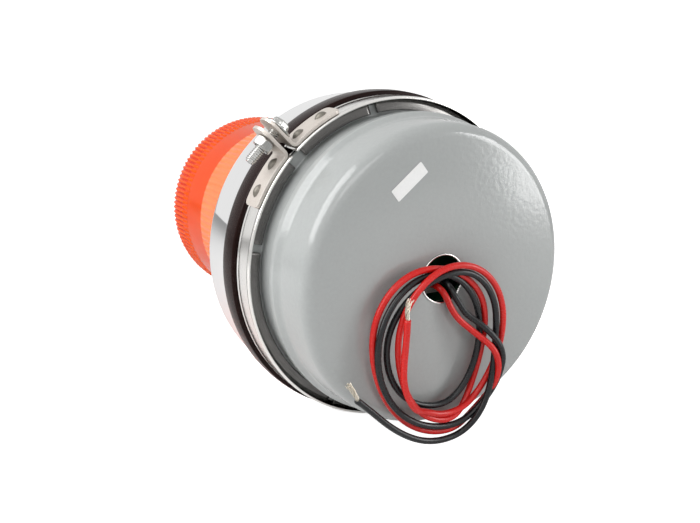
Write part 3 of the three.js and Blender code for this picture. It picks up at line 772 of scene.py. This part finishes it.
# ---- clamp ----
# Angles run from +X to +Z. The ears are at clamp["ears"]; each half of the band runs round from there.
clamp = {
    "ears": 134, "earGap": 3.2, "earThick": 1.6, "sheet": 0.9, "edgeRoll": 0.9, "webThick": 1.1, "slope": 18,
    "leg": 4, "gapHalf": 2.4, "flex": 0.4, "spans": ((3, 33), (36, 106), (109, 177)),
}
bandRadius = max(high("strap_upper", 0), -low("strap_lower", 2), high("strap_upper", 2))
bandLow, bandHigh = low("strap_upper", 1), high("strap_upper", 1)
bandMiddle = (bandLow + bandHigh) / 2
perDegree = bandRadius * np.pi / 180
halves = {"upper": -1, "lower": 1}


def spanOf(turn, near, far):
    return sorted((clamp["ears"] + turn * near, clamp["ears"] + turn * far))


def strapHalf(side, turn):
    # flat sheet with its two edges rolled over into small round beads
    r, t, roll = bandRadius, clamp["sheet"], clamp["edgeRoll"]
    section = [
        (r - t, bandLow + 0.2, 0.4), (r - roll - 0.5, bandLow, 0.35), (r - 0.2, bandLow, 0.6), (r, bandLow + 1.2, 0.5),
        (r - 0.25, bandLow + 2.2, 1), (r - 0.25, bandHigh - 2.2, 1), (r, bandHigh - 1.2, 0.5), (r - 0.2, bandHigh, 0.6),
        (r - roll - 0.5, bandHigh, 0.35), (r - t, bandHigh - 0.2, 0.4),
    ]
    start = (clamp["earGap"] / 2) / perDegree
    return arcPiece(f"strap_{side}_band", section, *spanOf(turn, start, 180 - clamp["flex"] / 2))


def retainer(side, turn, number, span):
    # V section: a web on the band and two sloping legs that hold the two flanges together
    web, t, leg, half = bandRadius - clamp["sheet"] - gap, clamp["webThick"], clamp["leg"], clamp["gapHalf"]
    rise, wide = leg * np.tan(np.radians(clamp["slope"])), t / np.cos(np.radians(clamp["slope"]))
    tip = web - t - leg
    section = [
        (tip, bandMiddle - half - rise - wide, 0.3), (web, bandMiddle - half - wide, 1.1),
        (web, bandMiddle + half + wide, 1.1), (tip, bandMiddle + half + rise + wide, 0.3),
        (tip, bandMiddle + half + rise, 0.3), (web - t, bandMiddle + half, 0.4),
        (web - t, bandMiddle - half, 0.4), (tip, bandMiddle - half - rise, 0.3),
    ]
    return arcPiece(f"retainer_{side}_segment_{number}", section, *spanOf(turn, *span))


def earPoint(out, along, across):
    # a point in the ears' frame: out from the axis, along the light, and across from ear to ear
    a = np.radians(clamp["ears"])
    return np.stack([out * np.cos(a) - across * np.sin(a), along, out * np.sin(a) + across * np.cos(a)], -1)


lug = {"thick": 1.4, "bend": 2.2, "long": 28, "corner": 2.6, "tip": 17.5, "tipCorner": 5, "half": 6.25}


def lugPlate(side, turn):
    # one sheet: a foot on the band, a bend, and an ear that stands out; its width draws in at both ends
    # by a quarter circle, width = half - corner + sqrt(corner^2 - (corner - distance)^2)
    r = bandRadius + gap + lug["thick"] / 2
    near, bend = clamp["earGap"] / 2 + clamp["earThick"] / 2, lug["bend"]
    footEnd = near + lug["long"] - 1.5
    s1 = np.linspace(footEnd, near + bend, 46) / r
    foot = np.stack([r * np.cos(s1), r * np.sin(s1)], -1)
    a = np.linspace(0, np.pi / 2, 9)[1:]
    drop = r - r * np.cos(s1[-1])
    corner = np.stack([r - drop + bend - bend * np.cos(a), near + bend - bend * np.sin(a)], -1)
    out = np.linspace(corner[-1, 0], r + lug["tip"] - 0.7, 30)[1:]
    ear = np.stack([out, np.full(len(out), near)], -1)
    line = np.concatenate([foot, corner, ear])
    run = np.r_[0, np.cumsum(np.linalg.norm(np.diff(line, axis=0), axis=1))]

    def drawn(distance, corner):
        inside = np.clip(corner - distance, 0, corner)
        return corner - np.sqrt(np.maximum(corner**2 - inside**2, 0))

    half = lug["half"] - drawn(run, lug["corner"]) - drawn(run[-1] - run, lug["tipCorner"])
    across = np.linspace(-1, 1, 13)[None, :]
    along = bandMiddle + half[:, None] * across
    points = earPoint(line[:, :1] + 0 * across, along, turn * line[:, 1:] + 0 * across).reshape(-1, 3)
    faces = grid(len(line), 13, wrapCols=False)
    piece = addMesh(f"lug_{side}_plate", points, [faces if turn < 0 else faces[:, ::-1]])
    return finished(piece, solid=lug["thick"], bevel=0.22)


rivet = {"near": 8.5, "pitch": 13, "half": (3.1, 2.1), "rise": 1.5}


def rivetHead(side, turn, number):
    # an oval dome: height = rise (1 - u^2.6) over an ellipse, standing on the lug; a short skirt goes into it
    r = bandRadius + gap + lug["thick"]
    u = np.concatenate([np.linspace(0.03, 0.8, 7), [0.9, 0.96, 1.0, 1.0]])[:, None]
    lift = rivet["rise"] * (1 - u**2.6)
    lift[-1] = -0.9
    a = np.linspace(0, 2 * np.pi, 36, endpoint=False)[None, :]
    around, along = rivet["half"][0] * u * np.cos(a), rivet["half"][1] * u * np.sin(a)
    spot = np.radians(clamp["ears"] + turn * (rivet["near"] + rivet["pitch"] * (number - 1)) / perDegree)
    out = r + lift + 0 * a
    angle = spot + around / r
    points = np.stack([out * np.cos(angle), bandMiddle + along, out * np.sin(angle)], -1).reshape(-1, 3)
    k = np.arange(36)
    return addMesh(f"rivet_{side}_head_{number}", points, [grid(len(u), 36), k[None, ::-1], k[None] + 36 * (len(u) - 1)])


for side, turn in halves.items():
    body = f"clamp_{side}"
    placed(strapHalf(side, turn), "bandSteel", body, "stainless", f"strap_{side}")
    for number, span in enumerate(clamp["spans"], 1):
        piece = retainer(side, turn, number, span)
        # the retainers take the steel painted dark as painted shade
        placed(piece, "shadeDarkenedRetainerSteel", body, "stainless", f"retainer_{side}_{number}")
    placed(lugPlate(side, turn), "lugSteel", body, "lug_steel", f"lug_{side}")
    for number in (1, 2):
        placed(rivetHead(side, turn, number), "rivetSteel", body, "lug_steel", f"rivet_{side}_{number}")

screw = {
    "radius": 2.4, "out": 10, "depth": 0.42, "pitch": 1.0, "reach": 12, "head": 4.4, "tall": 3,
    "washerThick": 1, "nut": 8, "nutBore": 0.5,
}
screwOut = bandRadius + screw["out"]
earFace = clamp["earGap"] / 2 + clamp["earThick"] + gap
headFace = earFace + screw["washerThick"] + gap


def turned(name, radius, across, bore=None):
    # a piece turned about the screw's line: radius (rows of across, columns of angle), ends closed
    rows, cols = radius.shape
    a = np.linspace(0, 2 * np.pi, cols, endpoint=False)[None, :]
    points = earPoint(screwOut + radius * np.cos(a), bandMiddle + radius * np.sin(a), across + 0 * a).reshape(-1, 3)
    k = np.arange(cols)
    if bore is None:
        return addMesh(name, points, [grid(rows, cols)[:, ::-1], k[None], k[None, ::-1] + (rows - 1) * cols])
    return addMesh(name, points, [grid(rows, cols, wrapRows=True)[:, ::bore]])


def clampScrew():
    # thread: radius = outside - depth x a pointed wave of (across / pitch - turns), under a domed hexagon head
    cols = 48
    a = np.linspace(0, 1, cols, endpoint=False)[None, :]
    hexagon = screw["head"] * np.cos(np.pi / 6) / np.cos((a * 6 % 1 - 0.5) * np.pi / 3)
    top, rim = -headFace - screw["tall"], np.minimum(hexagon[0], screw["head"])
    rows = [(rim * 0.2, top), (rim * 0.6, top + 0.05), (rim * 0.86, top + 0.5), (rim * 0.97, top + 1.1)]
    rows += [(rim, -headFace - 1.5), (rim, -headFace - 0.2)]
    rows += [(np.full(cols, r), -headFace) for r in (4.2, screw["radius"])]
    head = [np.stack([r, np.full(cols, z)], -1) for r, z in rows]
    z = np.arange(-headFace + 0.1, earFace + screw["reach"], screw["pitch"] / 8)[:, None]
    wave = np.abs(((z / screw["pitch"] - a) % 1) * 2 - 1)
    end = np.clip((earFace + screw["reach"] - z) / 1.2, 0, 1)
    shank = screw["radius"] * (0.75 + 0.25 * end) - screw["depth"] * wave * np.clip((z + headFace) / 1.5, 0, 1)
    thread = np.stack([shank, z + 0 * a], -1)
    both = np.concatenate([np.array(head), thread])
    return turned("threadedScrew", both[..., 0], both[..., 1])


def nutBody():
    # hexagon whose corners are turned off by a cone at both faces, with a plain bore
    cols = 72
    a = np.linspace(0, 1, cols, endpoint=False)[None, :]
    hexagon = screw["nut"] / 2 / np.cos((a * 6 % 1 - 0.5) * np.pi / 3)
    z = np.array([0, 0.15, 0.6, 1.1, 2, 2.9, 3.4, 3.85, 4])[:, None]
    cone = screw["nut"] / 2 + 0.1 + 1.1 * np.minimum(np.minimum(z, 4 - z) / 0.9, 1)
    outside = np.minimum(hexagon + 0 * z, cone)
    bore = np.full((2, cols), screw["radius"] + screw["nutBore"])
    radius = np.concatenate([outside, bore])
    across = earFace + np.concatenate([z + 0 * a, np.full((1, cols), 4.0), np.zeros((1, cols))])
    return turned("hexNut", radius, across, bore=1)


def washerBody():
    rows = np.array([(2.8, 0), (6.0, 0), (6.2, 0.15), (6.2, 0.85), (6.0, 1.0), (2.8, 1.0)])
    cols = 64
    return turned("plainWasher", np.repeat(rows[:, :1], cols, 1), -earFace - rows[:, 1:] + np.zeros((6, cols)), bore=-1)


placed(clampScrew(), "zinc", "screw", "zinc", "clamp_screw")
placed(nutBody(), "zinc", "clamp_lower", "zinc", "clamp_nut")
placed(washerBody(), "zinc", "clamp_upper", "zinc", "screw_washer")
print("clamp made")

# ---- inside ----
insideFinish = {
    "lens_collar": "blackPlastic", "lamp_plate": "zinc", "lamp_socket": "blackPlastic", "flash_tube": "glass",
    "trigger_coil": "blackPlastic", "power_board": "board", "transformer": "blackPlastic", "main_capacitor": "sleeve",
    "filter_capacitor": "sleeve", "terminal_block": "ceramic",
}
insideFinish.update({f"plate_screw_{k}": "zinc" for k in (1, 2, 3)})
insideFinish.update({f"board_{kind}_{k}": "zinc" for kind in ("standoff", "screw") for k in (1, 2, 3, 4)})
for name, finish in insideFinish.items():
    data = nodes[name].data
    data.materials.clear()
    data.materials.append(finishes[finish])


# ---- floor and light ----
# Powers are in watts and places in metres. The floor and world look brighter than the light that they give.
studio = {
    "floorGlow": 0.85, "worldLight": 0.3, "worldSeen": 1.3, "worldShine": 0.85,
    "key": {"place": (-0.7, 0.12, 0.62), "size": (0.8, 0.85), "power": 10.0},
    "front": {"place": (-0.25, -1.0, 0.75), "size": (0.7, 0.5), "power": 2.3},
    "edge": {"place": (0.52, -0.4, 0.1), "size": (0.2, 0.42), "power": 2.0},
}


def addFloor():
    z, reach = cadLow[2] / mm - 0.5, 3000
    points = [(-reach, -reach, z), (reach, -reach, z), (reach, reach, z), (-reach, reach, z)]
    floor = addMesh("floor", points, [np.array([[0, 1, 2, 3]])], smooth=False)
    material, tree, surface = shader("pale floor", Roughness=0.9)
    pale = noiseAt(tree, node(tree, "TexCoord").outputs["Object"], 6)
    tinted(tree, surface, pale, (0.84, 0.84, 0.84), (0.87, 0.87, 0.87))
    surface.inputs["Emission Color"].default_value = (1, 1, 1, 1)
    seen = node(tree, "Math", {1: studio["floorGlow"]}, {0: node(tree, "LightPath").outputs[0]}, operation="MULTIPLY")
    tree.links.new(seen.outputs[0], surface.inputs["Emission Strength"])
    floor.data.materials.append(material)


def addWorld():
    world = bpy.data.worlds.new("studio")
    world.use_nodes = True
    tree = world.node_tree
    sky = tree.nodes["Background"]
    sky.inputs["Color"].default_value = (1, 1, 1, 1)
    path = node(tree, "LightPath").outputs
    shine = mapped(tree, path["Is Glossy Ray"], 0.0, 1.0, studio["worldLight"], studio["worldShine"])
    strength = mapped(tree, path["Is Camera Ray"], 0.0, 1.0, shine, studio["worldSeen"])
    tree.links.new(strength, sky.inputs["Strength"])
    bpy.context.scene.world = world
    bpy.context.scene.view_settings.view_transform = "Standard"


def addLight(name):
    facts = studio[name]
    data = bpy.data.lights.new(name, "AREA")
    data.shape, data.energy = "RECTANGLE", facts["power"]
    data.size, data.size_y = facts["size"]
    light = bpy.data.objects.new(name, data)
    bpy.context.scene.collection.objects.link(light)
    light.location = facts["place"]
    light.rotation_euler = (Vector((0, 0.06, 0)) - Vector(facts["place"])).to_track_quat("-Z", "Y").to_euler()


addFloor()
addWorld()
for name in ("key", "front", "edge"):
    addLight(name)
print("studio made")
